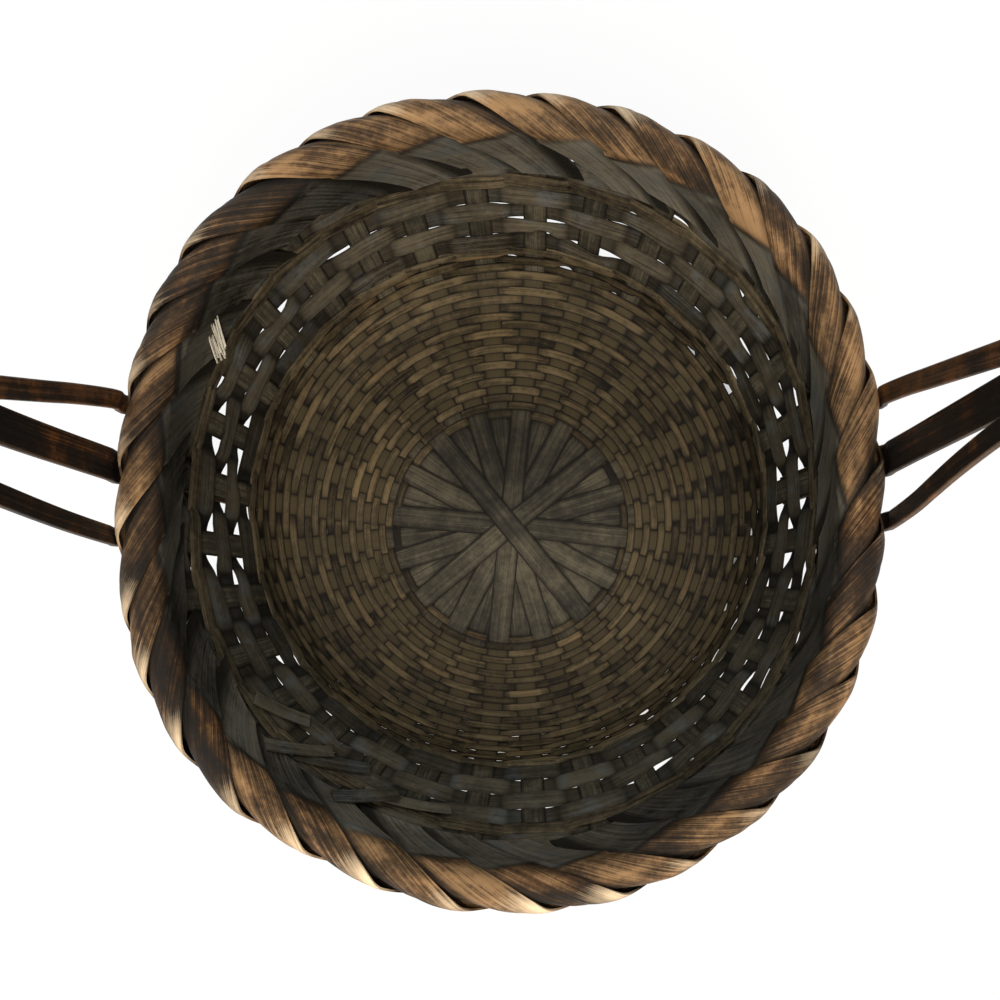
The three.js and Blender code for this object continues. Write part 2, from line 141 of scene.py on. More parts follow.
# Handle legs, each with its stake, lean and gathering way at the right and at the left
LEGS = {"front": ((-1, 5.0, 125.0), (16, 0.0, 265.0)),
        "middle": ((0, 0.0, 125.0), (15, -2.0, 125.0)),
        "back": ((1, -5.0, 125.0), (14, -6.0, 80.0))}
LEG_WIDTHS = {"front": 6.5, "middle": 11.0, "back": 6.5}
LEG_SHIFT = {"front": -3.4, "middle": 0.0, "back": 3.4}
LEG_DEPTH = {"front": -2.5, "middle": 0.0, "back": -2.5}
LEG_TONES = {"front": 0.2, "middle": 0.0, "back": 0.75}
LEG_THICK = 2.2
LEG_SHAVED = 0.2
LEG_CROWN = 0.25
LEG_BEVEL = 0.45
LEG_FOOT = 30.0
LEG_TUCK = 1.58
LEG_TUCK_HEIGHTS = (LEG_FOOT, 42.0, 54.0, 66.0)
LEG_GAP = 0.9
LEG_STEPS = 260
BULGE_SPARE = 0.35
BULGE_SPREAD = 0.42
LEFT_BOW = 6.0
HANDLE_RISE = 142.0
SPRING = RIM_HEIGHT + HANDLE_RISE
LEG_RISE = HANDLE_RISE - ROPE_RADIUS

# Wound grip, measured from the middle splint
GRIP_LOOPS = 16
GRIP_PITCH = 5.6
GRIP_WIDTH = 4.7
GRIP_THICK = 0.5
GRIP_OVER = 0.6
GRIP_UNDER = 0.85
GRIP_SIDE = 7.3
GRIP_SHOULDER = 5.9
GRIP_SLOPE = -1.1
GRIP_MIDDLE = -1.2
GRIP_SWELL = 0.18

# Loose strips inside the wall: angle, height, heading, length, width and lift of each mending splint
MENDING = ((230, 60, -46, 27, 5.5, 3.4), (245, 64, -40, 26, 6.0, 4.2), (236, 54, -30, 30, 6.5, 2.0),
           (222, 50, -35, 24, 6.0, 2.2), (252, 56, -12, 34, 5.0, 2.4))
MENDING_THICK = 0.4
FRAY_COUNT = 16
FRAY_THICK = 0.25


# The bowl's surface
def gap_round(angle, place):
    """Shortest way round the basket from a place to an angle."""
    return np.angle(np.exp(1j * (angle - place)))


def round_point(angle, reach, height):
    return np.stack([reach * np.cos(angle), reach * np.sin(angle), height], -1)


def dent(angle):
    """Unevenness of the handmade rim, outwards."""
    total = np.zeros_like(angle)
    for place, spread, size in RIM_DENTS:
        gap = np.degrees(gap_round(angle, math.radians(place)))
        total = total + size * np.exp(-(gap / spread) ** 2)
    return total


def rim_radius(angle):
    return RIM_RADIUS - RIM_PINCH * np.abs(np.cos(angle)) ** 6 + dent(angle)


def floor_radius(angle):
    return FLOOR_SHIFT * np.sin(angle) + np.sqrt(FLOOR_RADIUS ** 2 - (FLOOR_SHIFT * np.cos(angle)) ** 2)


def wall_turn(angle):
    """Tilt of the wall above the corner."""
    run = rim_radius(angle) - floor_radius(angle)
    rise = RIM_HEIGHT - FLOOR_LEVEL - CORNER_RADIUS
    straight = np.sqrt(run ** 2 + rise ** 2 - CORNER_RADIUS ** 2)
    return np.arctan2(rise, run) + np.arctan2(CORNER_RADIUS, straight)


def corner_end(angle):
    """Way along the splint to the end of the corner, and the height there."""
    turn = wall_turn(angle)
    return floor_radius(angle) + CORNER_RADIUS * turn, FLOOR_LEVEL + CORNER_RADIUS * (1 - np.cos(turn))


def way_at_height(angle, height):
    way, level = corner_end(angle)
    return way + (height - level) / np.sin(wall_turn(angle))


def meridian(angle, way):
    """Distance, height and tilt of the bowl at a way along the splint from the star's middle."""
    floor = floor_radius(angle)
    turn = wall_turn(angle)
    tilt = np.clip((way - floor) / CORNER_RADIUS, 0, turn)
    straight = np.maximum(way - floor - CORNER_RADIUS * turn, 0)
    reach = np.minimum(way, floor) + CORNER_RADIUS * np.sin(tilt) + straight * np.cos(turn)
    height = FLOOR_LEVEL + CORNER_RADIUS * (1 - np.cos(tilt)) + straight * np.sin(turn)
    return reach, height, tilt


def on_bowl(angle, way, lift):
    """Points on the bowl, lifted towards its inside."""
    reach, height, tilt = meridian(angle, way)
    return round_point(angle, reach - lift * np.sin(tilt), height + lift * np.cos(tilt))


def close_row_way(angle, row):
    """Way to the middle of a close-woven row, from the star's edge to just below the lower pair."""
    end = way_at_height(angle, LOWER_PAIR - BELOW_PAIR)
    return CLOSE_START + (end - CLOSE_START) * row / (CLOSE_ROWS - 1)


# Splints as flat strips laid along their way and given their thickness
def only(thing):
    bpy.ops.object.select_all(action="DESELECT")
    thing.select_set(True)
    bpy.context.view_layer.objects.active = thing


def finish_with(thing, kind, **settings):
    only(thing)
    made = thing.modifiers.new(kind.title(), kind)
    for name, value in settings.items():
        setattr(made, name, value)
    bpy.ops.object.modifier_apply(modifier=made.name)


def lay_splint(lay, long, wide, steps, across, thick, tone=None, ring=False, wear_and_painted_light=None, painted_shade_and_dirt=None,
               aged=None):
    """Adds a flat strip, lays it by a function of its length and width parts, and thickens it."""
    bpy.ops.object.select_all(action="DESELECT")
    bpy.ops.mesh.primitive_grid_add(x_subdivisions=steps, y_subdivisions=across, size=1)
    strip = bpy.context.object
    mesh = strip.data
    flat = np.empty(len(mesh.vertices) * 3)
    mesh.vertices.foreach_get("co", flat)
    flat = flat.reshape(-1, 3)
    length_part = np.clip(flat[:, 0] + 0.5, 0, 1)
    width_part = np.clip(flat[:, 1] + 0.5, 0, 1)
    mesh.vertices.foreach_set("co", (lay(length_part, width_part) * MM).ravel())
    corners = np.empty(len(mesh.loops), np.int32)
    mesh.loops.foreach_get("vertex_index", corners)
    start = chance.uniform(0, 900)
    fibre = np.stack([start + length_part[corners] * long, start + width_part[corners] * wide], -1)
    mesh.uv_layers[0].name = "fibre"
    mesh.uv_layers["fibre"].data.foreach_set("uv", fibre.ravel())
    coats = {"tone": np.full(len(mesh.vertices), chance.random() if tone is None else tone)}
    # Coats for the finish: wear with painted light, painted shade with dirt, and greying
    for name, coat in (("wear_and_painted_light", wear_and_painted_light), ("painted_shade_and_dirt", painted_shade_and_dirt), ("aged", aged)):
        coats[name] = coat(length_part, width_part) if coat else np.zeros(len(mesh.vertices))
    for name, values in coats.items():
        mesh.attributes.new(name, "FLOAT", "POINT").data.foreach_set("value", values)
    if ring:
        bpy.ops.object.mode_set(mode="EDIT")
        bpy.ops.mesh.select_all(action="SELECT")
        bpy.ops.mesh.remove_doubles(threshold=1e-6)
        bpy.ops.object.mode_set(mode="OBJECT")
    finish_with(strip, "SOLIDIFY", thickness=thick * MM, offset=0, use_even_offset=False)
    only(strip)
    bpy.ops.object.shade_smooth_by_angle(angle=math.radians(40))
    return strip


def join(strips, name):
    only(strips[0])
    for strip in strips:
        strip.select_set(True)
    if len(strips) > 1:
        bpy.ops.object.join()
    strips[0].name = strips[0].data.name = name
    return strips[0]


def dress(piece, finish, slot, *nodes):
    """Gives a piece its finish and its place in the part."""
    piece.data.materials.clear()
    piece.data.materials.append(finish)
    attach(piece, "root")
    if nodes:
        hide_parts(*nodes)


# Finishes
class Finish:
    """A material or a world under construction, with short ways to add and join its nodes."""

    def __init__(self, owner):
        owner.use_nodes = True
        self.owner = owner
        self.tree = owner.node_tree

    def add(self, kind, sockets=(), **settings):
        made = self.tree.nodes.new(kind)
        for name, value in settings.items():
            setattr(made, name, value)
        for name, value in dict(sockets).items():
            self.put(made.inputs[name], value)
        return made

    def put(self, socket, value):
        if isinstance(value, bpy.types.NodeSocket):
            self.tree.links.new(value, socket)
        else:
            socket.default_value = value

    def work(self, operation, first, second):
        return self.add("ShaderNodeMath", {0: first, 1: second}, operation=operation).outputs[0]

    def sum(self, *terms):
        """Adds sockets, each times its weight."""
        weighted = [self.work("MULTIPLY", socket, weight) for socket, weight in terms]
        total = weighted[0]
        for term in weighted[1:]:
            total = self.work("ADD", total, term)
        return total

    def spread(self, value, low, high, first=0.0, last=1.0):
        """Takes a value's range from low to high onto first to last, and holds it there."""
        made = self.add("ShaderNodeMapRange", {"Value": value, "From Min": low, "From Max": high,
                                               "To Min": first, "To Max": last})
        return made.outputs["Result"]

    def noise(self, source, stretch, detail=4.0, rough=0.6):
        scaled = self.add("ShaderNodeVectorMath", {0: source, 1: stretch}, operation="MULTIPLY")
        return self.add("ShaderNodeTexNoise", {"Vector": scaled.outputs[0], "Scale": 1.0, "Detail": detail,
                                               "Roughness": rough}).outputs["Fac"]

    def ramp(self, value, *stops):
        made = self.add("ShaderNodeValToRGB", {"Fac": value})
        points = made.color_ramp.elements
        while len(points) < len(stops):
            points.new(0.5)
        for point, (place, colour) in zip(points, stops):
            point.position = place
            point.color = (*colour, 1)
        return made.outputs["Color"]

    def blend(self, amount, first, second):
        made = self.add("ShaderNodeMix", {"Factor": amount, 6: first, 7: second}, data_type="RGBA")
        return made.outputs[2]

    def coat(self, name):
        """One of the strip's own values, such as its wear with painted light and its painted shade."""
        return self.add("ShaderNodeAttribute", attribute_name=name).outputs["Fac"]

    def seen(self):
        """1 where the background shows, straight on or in a gloss, and 0 where it lights the basket."""
        rays = self.add("ShaderNodeLightPath").outputs
        shown = self.work("MAXIMUM", rays["Is Camera Ray"], rays["Is Glossy Ray"])
        return self.work("MAXIMUM", shown, rays["Is Transmission Ray"])


NEAR_BLACK = (0.004, 0.003, 0.002)
AGED = ((0.63, NEAR_BLACK), (0.73, (0.045, 0.04, 0.031)), (0.82, (0.095, 0.083, 0.064)),
        (0.95, (0.17, 0.148, 0.11)))
COOL_WALL = ((0.62, (0.008, 0.0085, 0.0085)), (0.73, (0.025, 0.027, 0.027)), (0.82, (0.053, 0.056, 0.054)),
             (0.92, (0.1, 0.103, 0.098)))
WARM_RIM = ((0.66, (0.006, 0.003, 0.001)), (0.75, (0.031, 0.014, 0.005)), (0.82, (0.106, 0.053, 0.021)),
            (0.92, (0.31, 0.178, 0.083)))
WARM_HANDLE = ((0.66, NEAR_BLACK), (0.75, (0.011, 0.004, 0.0015)), (0.83, (0.04, 0.014, 0.004)),
               (0.92, (0.15, 0.055, 0.014)))

# Stretch of each pattern: along the fibres for the first, all ways alike for the others
BLOTCHES = (0.085, 0.05, 1.0)
STAINS = (26.0, 26.0, 26.0)
MOTTLES = (420.0, 420.0, 420.0)
FIBRE_RELIEF = 0.0006


def splint_finish(name, stops, wear_and_painted_light_colour, sheen, rough=0.62, grain=0.5, patch=0.35,
                  fine=(0.03, 2.6, 1.0), speck=0.25, second=None):
    """Aged split wood: fibres along the strip, blotches along its length, wear with painted light where it
    is rubbed or lit, and painted shade with stains where its shade coat is set.
    """
    make = Finish(bpy.data.materials.new(name))
    fibre = make.add("ShaderNodeUVMap", uv_map="fibre").outputs["UV"]
    place = make.add("ShaderNodeTexCoord").outputs["Object"]
    fine_fibre = make.noise(fibre, fine, 6.0, 0.65)
    coarse_fibre = make.noise(fibre, (fine[0] * 0.7, fine[1] * 0.28, 1.0), 3.0)
    blotch = make.noise(fibre, BLOTCHES, 2.0)
    stain = make.noise(place, STAINS, 3.0)
    mottle = make.work("SUBTRACT", make.noise(place, MOTTLES, 3.0, 0.7), 0.5)
    tone = make.sum((fine_fibre, 0.42), (coarse_fibre, 0.38), (blotch, 0.3), (stain, patch),
                    (make.coat("tone"), 0.16), (mottle, speck))
    patched = make.spread(blotch, 0.5, 0.64, last=0.8)
    colour = make.ramp(tone, *stops)
    if second:
        colour = make.blend(patched, colour, make.ramp(tone, *second))
    aged = make.blend(patched, make.ramp(tone, *AGED), make.ramp(tone, *COOL_WALL))
    greying = make.sum((make.coat("aged"), 1.0), (fine_fibre, 0.6), (coarse_fibre, 0.4))
    colour = make.blend(make.spread(greying, 0.7, 1.3), colour, aged)
    # Wear, and painted light and highlights where light falls on the strip, lighten the colour
    wear_and_painted_light_mask = make.sum((make.coat("wear_and_painted_light"), 1.0), (coarse_fibre, 0.35), (fine_fibre, 0.7),
                       (mottle, 0.6 * speck))
    colour = make.blend(make.spread(wear_and_painted_light_mask, 0.74, 1.34), colour, (*wear_and_painted_light_colour, 1))
    # Painted shade: towards near black where the shade coat is set, in gaps, along edges and under crossing
    # strips, with real stains mixed in
    painted_shade_and_stain_mask = make.sum((make.coat("painted_shade_and_dirt"), 1.0), (stain, 0.3))
    colour = make.blend(make.spread(painted_shade_and_stain_mask, 0.15, 1.0, last=0.94), colour, (*NEAR_BLACK, 1))
    relief = make.sum((fine_fibre, 0.7), (coarse_fibre, 0.6))
    bump = make.add("ShaderNodeBump", {"Height": relief, "Strength": grain, "Distance": FIBRE_RELIEF})
    surface = make.tree.nodes["Principled BSDF"].inputs
    make.put(surface["Base Color"], colour)
    make.put(surface["Roughness"], make.spread(fine_fibre, 0.25, 0.75, rough - 0.12, rough + 0.16))
    make.put(surface["Specular IOR Level"], sheen)
    make.put(surface["Normal"], bump.outputs["Normal"])
    return make.owner


stake_finish = splint_finish(
    "dark_stake_splint",
    ((0.62, (0.008, 0.007, 0.0055)), (0.74, (0.024, 0.021, 0.015)), (0.82, (0.042, 0.036, 0.025)),
     (0.92, (0.085, 0.072, 0.048))),
    (0.047, 0.034, 0.016), 0.1)
weaver_finish = splint_finish(
    "brown_weaver_splint",
    ((0.63, NEAR_BLACK), (0.72, (0.026, 0.0185, 0.009)), (0.81, (0.055, 0.041, 0.021)),
     (0.92, (0.115, 0.083, 0.043))),
    (0.24, 0.15, 0.07), 0.1)
wide_finish = splint_finish(
    "grey_wall_splint",
    ((0.62, (0.015, 0.013, 0.009)), (0.73, (0.037, 0.032, 0.023)), (0.82, (0.064, 0.054, 0.038)),
     (0.92, (0.105, 0.087, 0.059))),
    (0.22, 0.16, 0.1), 0.1, second=COOL_WALL)
strand_finish = splint_finish(
    "fine_strand_splint",
    ((0.63, NEAR_BLACK), (0.72, (0.03, 0.023, 0.014)), (0.82, (0.066, 0.051, 0.031)),
     (0.92, (0.13, 0.098, 0.058))),
    (0.25, 0.17, 0.1), 0.1)
rim_finish = splint_finish(
    "rim_splint_wear_and_painted_highlight",
    ((0.66, (0.006, 0.004, 0.0025)), (0.75, (0.023, 0.0125, 0.0055)), (0.82, (0.072, 0.04, 0.018)),
     (0.92, (0.25, 0.145, 0.068))),
    (0.82, 0.62, 0.41), 0.14, rough=0.5, grain=0.9, patch=0.42, fine=(0.03, 4.0, 1.0), speck=0.18,
    second=WARM_RIM)
# Near-black finish of the filling that stands for the shade between the rolls
painted_shade_core_finish = splint_finish(
    "near_black_rim_painted_shade_core", ((0.635, NEAR_BLACK), (0.91, (0.02, 0.013, 0.008))), (0.03, 0.02, 0.01), 0.2, rough=0.8)
handle_finish = splint_finish(
    "dark_handle_splint",
    ((0.591, (0.003, 0.002, 0.0015)), (0.723, (0.007, 0.0042, 0.0028)), (0.822, (0.017, 0.009, 0.005)),
     (0.91, (0.08, 0.036, 0.016))),
    (0.28, 0.16, 0.08), 0.22, rough=0.5, fine=(0.012, 1.6, 1.0), second=WARM_HANDLE)
binding_finish = splint_finish(
    "brown_binding_splint",
    ((0.624, NEAR_BLACK), (0.745, (0.045, 0.026, 0.013)), (0.866, (0.11, 0.065, 0.03)),
     (0.976, (0.2, 0.12, 0.06))),
    (0.34, 0.22, 0.11), 0.2, rough=0.52)
pale_finish = splint_finish(
    "pale_frayed_fibre", ((0.635, (0.35, 0.3, 0.22)), (0.91, (0.7, 0.66, 0.56))), (0.8, 0.76, 0.66), 0.3)

# Heights of the rows up the wall
WIDE_HEIGHTS = [WIDE_START + WIDE_PITCH * row for row in range(WIDE_ROWS)]
WALL_ROWS = [LOWER_PAIR, *WIDE_HEIGHTS, *UPPER_PAIRS, TOP_ROW]


# Weaving: each row passes the stakes inside and outside by turns
def by_turns(number):
    """1 for an even stake, row or strand, and -1 for an odd one."""
    return 1 if number % 2 == 0 else -1


def edge(width_part, sharp):
    """From 0 along a strip's middle to 1 at its edges."""
    return np.abs(2 * width_part - 1) ** sharp


def star_layer(index):
    """Place of a splint in the star's pile, with neighbours far apart."""
    rest = (index - TOP_SPLINT - 1) % SPLINTS
    layer = 0
    weight = SPLINTS // 2
    while weight:
        layer += (rest % 2) * weight
        rest //= 2
        weight //= 2
    return layer


def stake_lift(stake):
    """Ways along a stake and its lift inwards there: the stake gives way to each row."""
    angle = np.array(STAKE_PITCH * (stake + 0.5))
    ways, lifts = [0.0, CLOSE_START - STAR_MARGIN], [0.0, 0.0]
    for row in range(CLOSE_ROWS):
        ways.append(float(close_row_way(angle, row)))
        lifts.append(-CLOSE_GIVE * by_turns(stake) * by_turns(row))
    for row, height in enumerate(WALL_ROWS):
        ways.append(float(way_at_height(angle, height)))
        lifts.append(WALL_GIVE * by_turns(stake) * by_turns(row))
    ways.append(float(way_at_height(angle, STAKE_TOP)))
    lifts.append(0.0)
    return ways, lifts


def star_splint(index):
    """A splint right across the base: up one side as a stake, over the star, and up the other side."""
    angle = STAKE_PITCH * (index + 0.5)
    pile = STAR_LAYER * star_layer(index) - STAR_SINK
    ends = [float(way_at_height(np.array(a), STAKE_TOP)) for a in (angle + math.pi, angle)]
    lifts = [stake_lift(index + SPLINTS), stake_lift(index)]
    sway = [chance.uniform(-1, 1) for _ in range(4)]

    def way_and_lift(length_part):
        """Way from the star's middle, below 0 on the first side, and the lift there."""
        way = -ends[0] + (ends[0] + ends[1]) * length_part
        lift = np.where(way >= 0, np.interp(np.abs(way), *lifts[1]), np.interp(np.abs(way), *lifts[0]))
        return way, lift

    def lay(length_part, width_part):
        way, lift = way_and_lift(length_part)
        ahead = way >= 0
        out = np.abs(way)
        aim = np.where(ahead, angle, angle + math.pi)
        up_wall = np.clip((out - SWAY_START) / SWAY_RUN, 0, 1)
        side = (width_part - 0.5) * SPLINT_WIDTH + np.where(ahead, sway[0], sway[1]) * up_wall
        point = on_bowl(aim, out, lift + SPLINT_CROWN * (1 - edge(width_part, 2)))
        point[:, 0] -= math.sin(angle) * side
        point[:, 1] += math.cos(angle) * side
        point[:, 2] += pile * np.clip(1 - np.maximum(np.hypot(out, side), STAR_FLAT) / STAR_EDGE, 0, 1)
        return point

    def painted_shade_and_dirt(length_part, width_part):
        # Painted shade where rows pass over the stake and along its edges, and the handle's painted shadow
        # on the star
        way, lift = way_and_lift(length_part)
        x = (way * math.cos(angle) - PAINTED_SHADOW_PLACE[0]) / PAINTED_SHADOW_SPREAD[0]
        y = (way * math.sin(angle) - PAINTED_SHADOW_PLACE[1]) / PAINTED_SHADOW_SPREAD[1]
        painted_shadow_and_dark_tone = 0.5 * np.exp(-x ** 2 - y ** 2)
        return np.clip(-lift * 1.2, 0, 0.5) + 0.95 * edge(width_part, 6) + painted_shadow_and_dark_tone

    def wear_and_painted_light(length_part, width_part):
        out = np.abs(way_and_lift(length_part)[0])
        return 0.75 * np.clip((out - CLOSE_START) / 6, 0, 1) * np.clip((RUBBED_END - out) / 12, 0, 1)

    tone = 0.3 + 0.4 * chance.random()
    strip = lay_splint(lay, sum(ends), SPLINT_WIDTH, 260, 8, SPLINT_THICK, tone=tone, wear_and_painted_light=wear_and_painted_light,
                       painted_shade_and_dirt=painted_shade_and_dirt)
    return join([strip], f"star_splint_{index + 1:02d}")


def row_sway(size):
    """Slow unevenness of a row round the basket."""
    waves = [(chance.randint(2, 9), chance.uniform(0, 6.28), chance.uniform(0.3, 1.0)) for _ in range(4)]
    return lambda angle: size * sum(a * np.sin(n * angle + p) for n, p, a in waves) / 2


def passing(angle, sharp):
    """From 1 at the even stakes to -1 at the odd ones."""
    return np.tanh(sharp * np.cos(math.pi * (angle / STAKE_PITCH - 0.5))) / math.tanh(sharp)


def stake_at(angle):
    """Number of the stake that a place round the basket belongs to."""
    return np.floor(angle / STAKE_PITCH).astype(int) % STAKES


def close_row(row):
    """A narrow splint of the close weaving, over one stake and under the next, loose near the corner."""
    side = by_turns(row)
    sway = row_sway(0.16)
    round_way = 2 * math.pi * (CLOSE_START + CLOSE_PITCH * row)
    corner = max(row - FIRST_LOOSE_ROW + 1, 0) / (CLOSE_ROWS - FIRST_LOOSE_ROW)
    painted_shadow_and_dark_tone = np.array([patches.random() for _ in range(STAKES)])
    rubbed = np.array([patches.random() for _ in range(STAKES)])
    loose = [(chance.gauss(0.1, 0.7), chance.uniform(0.012, 0.03), chance.uniform(0.8, 2.0) * corner)
             for _ in range(7)]

    def lay(length_part, width_part):
        angle = 2 * math.pi * length_part
        pitch = close_row_way(angle, 1) - close_row_way(angle, 0)
        across = (width_part - 0.5) * pitch * (1.06 + 0.16 * corner)
        way = close_row_way(angle, row) + across + sway(angle)
        for place, spread, size in loose:
            way = way + size * (1 - width_part) * np.exp(-(gap_round(angle, place) / spread) ** 4)
        lift = CLOSE_LIFT * side * passing(angle, 3.4) + CLOSE_CROWN * (1 - edge(width_part, 4))
        point = on_bowl(angle, way, lift)
        point[:, 2] += STAR_RIDE * np.clip((RIDE_END - way) / RIDE_RUN, 0, 1)
        return point

    def painted_shade_and_dirt(length_part, width_part):
        angle = 2 * math.pi * length_part
        # Painted shade where the row passes outside a stake, along its edges between rows, and on the left
        # and right of the floor, most on the right
        under = 0.5 - 0.5 * side * passing(angle, 1.6)
        sides = 0.3 * np.abs(np.cos(angle - 0.3)) ** 4 * row / CLOSE_ROWS
        sides = sides + 0.2 * np.maximum(np.cos(angle - 0.3), 0) ** 2
        # Darker near the star and on some stakes, a tone that differs at random
        inner = 0.55 * painted_shadow_and_dark_tone[stake_at(angle)] * max(1 - row / 4, 0)
        uneven = 0.3 * painted_shadow_and_dark_tone[stake_at(angle)] ** 2 + inner
        return 0.5 * under ** 3 + 0.95 * edge(width_part, 5) + sides + uneven

    def wear_and_painted_light(length_part, width_part):
        return 0.34 * rubbed[stake_at(2 * math.pi * length_part)] ** 3

    return lay_splint(lay, round_way, CLOSE_WIDTH, STAKES * 12, 7, CLOSE_THICK, ring=True, wear_and_painted_light=wear_and_painted_light,
                      painted_shade_and_dirt=painted_shade_and_dirt)


def leg_bulge(angle, row, height):
    """Way out that a row takes round a handle leg where it passes outside the leg's stake."""
    bulge = np.zeros_like(angle)
    if height + ROW_REACH < LEG_FOOT:
        return bulge
    for pair in LEGS.values():
        for stake, _, _ in pair:
            if (stake + row) % 2 == 0:
                gap = gap_round(angle, STAKE_PITCH * (stake + 0.5)) / STAKE_PITCH
                bulge = bulge + (LEG_THICK + BULGE_SPARE) * np.exp(-(gap / BULGE_SPREAD) ** 4)
    return bulge


def wide_row(row, name):
    """A wide splint round the open wall, drawn narrow in places so that the weave stands open there."""
    height = WALL_ROWS[row]
    side = -by_turns(row)
    sway = row_sway(0.3)
    lean = row_sway(0.5)
    sides = [chance.choice((0, math.pi)) + chance.gauss(0, 0.6) for _ in range(11)]
    far_side = [chance.gauss(math.pi / 2, 0.5) for _ in range(4)]
    narrows = [(place, chance.uniform(0.03, 0.08), chance.uniform(0.7, 2.7), chance.choice((False, True)))
               for place in sides + far_side]

    def lay(length_part, width_part):
        angle = 2 * math.pi * length_part
        across = (width_part - 0.5) * WIDE_TALL / np.sin(wall_turn(angle))
        for place, spread, size, from_top in narrows:
            drawn = size * np.exp(-(gap_round(angle, place) / spread) ** 4)
            across = across + drawn * (-width_part if from_top else 1 - width_part)
        way = way_at_height(angle, height) + across + sway(angle)
        lift = WIDE_LIFT * side * passing(angle, 1.3) + lean(angle * 2) * (width_part - 0.5) * 0.5
        lift = lift + WIDE_CROWN * (1 - edge(width_part, 2))
        return on_bowl(angle, way, lift - leg_bulge(angle, row, height))

    def painted_shade_and_dirt(length_part, width_part):
        angle = 2 * math.pi * length_part
        # Painted shade where the row passes outside a stake, a painted shadow where it goes under, and
        # painted shade along its edges and on the left and right of the wall
        under = 0.5 - 0.5 * side * passing(angle, 1.2)
        crossing = np.exp(-((side * passing(angle, 1.3) + 0.35) / 0.3) ** 2)
        sides = 0.3 * np.cos(angle) ** 2
        return 0.5 * under ** 2 + 0.4 * crossing + 0.35 * edge(width_part, 6) + sides

    def wear_and_painted_light(length_part, width_part):
        # Painted light: the far side of the wall is lighter, where more light falls
        return 0.25 * np.maximum(np.sin(2 * math.pi * length_part), 0)

    strip = lay_splint(lay, 2 * math.pi * WALL_RADIUS, WIDE_TALL, STAKES * 12, 8, WIDE_THICK, ring=True,
                       wear_and_painted_light=wear_and_painted_light, painted_shade_and_dirt=painted_shade_and_dirt)
    return join([strip], name)


def twined_pair(row, name):
    """Two fine strands that cross each other between the stakes."""
    height = WALL_ROWS[row]
    made = []
    for strand in range(2):
        side = -by_turns(row) * by_turns(strand)
        sway = row_sway(0.35)

        def lay(length_part, width_part, side=side, sway=sway):
            angle = 2 * math.pi * length_part
            phase = math.pi * (angle / STAKE_PITCH - 0.5)
            across = (width_part - 0.5) * STRAND_WIDTH + side * STRAND_WAVE * np.sin(phase)
            way = way_at_height(angle, height) + across + sway(angle)
            lift = STRAND_LIFT * side * np.tanh(1.6 * np.cos(phase))
            lift = lift + STRAND_CROWN * (1 - edge(width_part, 2))
            outside = np.where(lift < 0, leg_bulge(angle, 0, height) + leg_bulge(angle, 1, height), 0)
            return on_bowl(angle, way, lift - outside)

        made.append(lay_splint(lay, 2 * math.pi * STRAND_RADIUS, STRAND_FACE, STAKES * 10, 3, STRAND_THICK,
                               ring=True))
    return join(made, name)


# Rope rim: the stake ends rolled over one another
def on_rope(angle, turn, radius):
    """Points on the rope, at a turn about its middle."""
    return round_point(angle, rim_radius(angle) + radius * np.cos(turn), RIM_HEIGHT + radius * np.sin(turn))


def roll_turn(length_part):
    """Turn of a roll about the rope's middle, from below the outside over the top to the inside."""
    return ROLL_FIRST + (ROLL_LAST - ROLL_FIRST) * np.minimum(length_part / ROLLED_PART, 1)


